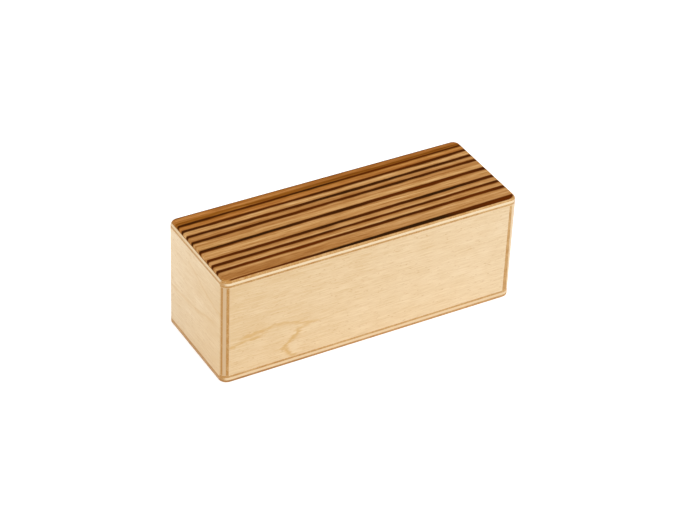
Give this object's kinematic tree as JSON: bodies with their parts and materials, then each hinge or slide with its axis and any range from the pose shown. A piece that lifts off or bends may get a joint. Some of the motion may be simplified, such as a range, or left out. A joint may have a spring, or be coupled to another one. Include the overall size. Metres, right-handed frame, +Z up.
{
  "type": "wooden shaker",
  "caption": "Rectangular plywood box shaker with rounded corners, a striped veneer on its top face and loose shot inside that sounds when the box is shaken.",
  "frame": {"origin": "centre of the underside of the box", "axes": "+X along the length, +Y from the front panel to the back panel, +Z up through the veneered face"},
  "size_m": [0.16, 0.058, 0.059],
  "materials": {
    "birch_plywood": "satin clear lacquer, ply lines on the edges",
    "zebrano_veneer": "satin clear lacquer over dark stripes along the length",
    "steel_shot": "smooth bright shot"
  },
  "bodies": {
    "case": {"bottom_plate": "birch_plywood", "left_end_panel": "birch_plywood", "right_end_panel": "birch_plywood", "front_panel": "birch_plywood", "back_panel": "birch_plywood", "top_plate": "birch_plywood", "top_veneer": "zebrano_veneer"},
    "pellet_01": {"pellet_01": "steel_shot"},
    "pellet_02": {"pellet_02": "steel_shot"},
    "pellet_03": {"pellet_03": "steel_shot"},
    "pellet_04": {"pellet_04": "steel_shot"},
    "pellet_05": {"pellet_05": "steel_shot"},
    "pellet_06": {"pellet_06": "steel_shot"},
    "pellet_07": {"pellet_07": "steel_shot"},
    "pellet_08": {"pellet_08": "steel_shot"},
    "pellet_09": {"pellet_09": "steel_shot"},
    "pellet_10": {"pellet_10": "steel_shot"},
    "pellet_11": {"pellet_11": "steel_shot"},
    "pellet_12": {"pellet_12": "steel_shot"},
    "pellet_13": {"pellet_13": "steel_shot"},
    "pellet_14": {"pellet_14": "steel_shot"},
    "pellet_15": {"pellet_15": "steel_shot"},
    "pellet_16": {"pellet_16": "steel_shot"},
    "pellet_17": {"pellet_17": "steel_shot"},
    "pellet_18": {"pellet_18": "steel_shot"},
    "pellet_19": {"pellet_19": "steel_shot"},
    "pellet_20": {"pellet_20": "steel_shot"},
    "pellet_21": {"pellet_21": "steel_shot"},
    "pellet_22": {"pellet_22": "steel_shot"},
    "pellet_23": {"pellet_23": "steel_shot"},
    "pellet_24": {"pellet_24": "steel_shot"},
    "pellet_25": {"pellet_25": "steel_shot"},
    "pellet_26": {"pellet_26": "steel_shot"},
    "pellet_27": {"pellet_27": "steel_shot"},
    "pellet_28": {"pellet_28": "steel_shot"}
  },
  "joints": [
    {"name": "pellet_01_slide", "type": "slide", "parent": "case", "child": "pellet_01", "axis": [0, 1, 0], "range_m": [-0.02752, 0.01788]},
    {"name": "pellet_02_slide", "type": "slide", "parent": "case", "child": "pellet_02", "axis": [0, 1, 0], "range_m": [-0.01192, 0.03348]},
    {"name": "pellet_03_slide", "type": "slide", "parent": "case", "child": "pellet_03", "axis": [0, 1, 0], "range_m": [-0.03717, 0.00823]},
    {"name": "pellet_04_slide", "type": "slide", "parent": "case", "child": "pellet_04", "axis": [0, 1, 0], "range_m": [-0.02156, 0.02384]},
    {"name": "pellet_05_slide", "type": "slide", "parent": "case", "child": "pellet_05", "axis": [0, 1, 0], "range_m": [-0.00595, 0.03945]},
    {"name": "pellet_06_slide", "type": "slide", "parent": "case", "child": "pellet_06", "axis": [0, 1, 0], "range_m": [-0.03121, 0.01419]},
    {"name": "pellet_07_slide", "type": "slide", "parent": "case", "child": "pellet_07", "axis": [0, 1, 0], "range_m": [-0.0156, 0.0298]},
    {"name": "pellet_08_slide", "type": "slide", "parent": "case", "child": "pellet_08", "axis": [0, 1, 0], "range_m": [-0.04085, 0.00455]},
    {"name": "pellet_09_slide", "type": "slide", "parent": "case", "child": "pellet_09", "axis": [0, 1, 0], "range_m": [-0.02525, 0.02015]},
    {"name": "pellet_10_slide", "type": "slide", "parent": "case", "child": "pellet_10", "axis": [0, 1, 0], "range_m": [-0.00964, 0.03576]},
    {"name": "pellet_11_slide", "type": "slide", "parent": "case", "child": "pellet_11", "axis": [0, 1, 0], "range_m": [-0.03489, 0.01051]},
    {"name": "pellet_12_slide", "type": "slide", "parent": "case", "child": "pellet_12", "axis": [0, 1, 0], "range_m": [-0.01928, 0.02612]},
    {"name": "pellet_13_slide", "type": "slide", "parent": "case", "child": "pellet_13", "axis": [0, 1, 0], "range_m": [-0.00368, 0.04172]},
    {"name": "pellet_14_slide", "type": "slide", "parent": "case", "child": "pellet_14", "axis": [0, 1, 0], "range_m": [-0.02893, 0.01647]},
    {"name": "pellet_15_slide", "type": "slide", "parent": "case", "child": "pellet_15", "axis": [0, 1, 0], "range_m": [-0.01332, 0.03208]},
    {"name": "pellet_16_slide", "type": "slide", "parent": "case", "child": "pellet_16", "axis": [0, 1, 0], "range_m": [-0.03858, 0.00682]},
    {"name": "pellet_17_slide", "type": "slide", "parent": "case", "child": "pellet_17", "axis": [0, 1, 0], "range_m": [-0.02297, 0.02243]},
    {"name": "pellet_18_slide", "type": "slide", "parent": "case", "child": "pellet_18", "axis": [0, 1, 0], "range_m": [-0.00736, 0.03804]},
    {"name": "pellet_19_slide", "type": "slide", "parent": "case", "child": "pellet_19", "axis": [0, 1, 0], "range_m": [-0.03261, 0.01279]},
    {"name": "pellet_20_slide", "type": "slide", "parent": "case", "child": "pellet_20", "axis": [0, 1, 0], "range_m": [-0.01701, 0.02839]},
    {"name": "pellet_21_slide", "type": "slide", "parent": "case", "child": "pellet_21", "axis": [0, 1, 0], "range_m": [-0.04226, 0.00314]},
    {"name": "pellet_22_slide", "type": "slide", "parent": "case", "child": "pellet_22", "axis": [0, 1, 0], "range_m": [-0.02665, 0.01875]},
    {"name": "pellet_23_slide", "type": "slide", "parent": "case", "child": "pellet_23", "axis": [0, 1, 0], "range_m": [-0.01105, 0.03435]},
    {"name": "pellet_24_slide", "type": "slide", "parent": "case", "child": "pellet_24", "axis": [0, 1, 0], "range_m": [-0.0363, 0.0091]},
    {"name": "pellet_25_slide", "type": "slide", "parent": "case", "child": "pellet_25", "axis": [0, 1, 0], "range_m": [-0.02069, 0.02471]},
    {"name": "pellet_26_slide", "type": "slide", "parent": "case", "child": "pellet_26", "axis": [0, 1, 0], "range_m": [-0.00508, 0.04032]},
    {"name": "pellet_27_slide", "type": "slide", "parent": "case", "child": "pellet_27", "axis": [0, 1, 0], "range_m": [-0.03034, 0.01506]},
    {"name": "pellet_28_slide", "type": "slide", "parent": "case", "child": "pellet_28", "axis": [0, 1, 0], "range_m": [-0.01473, 0.03067]}
  ]
}
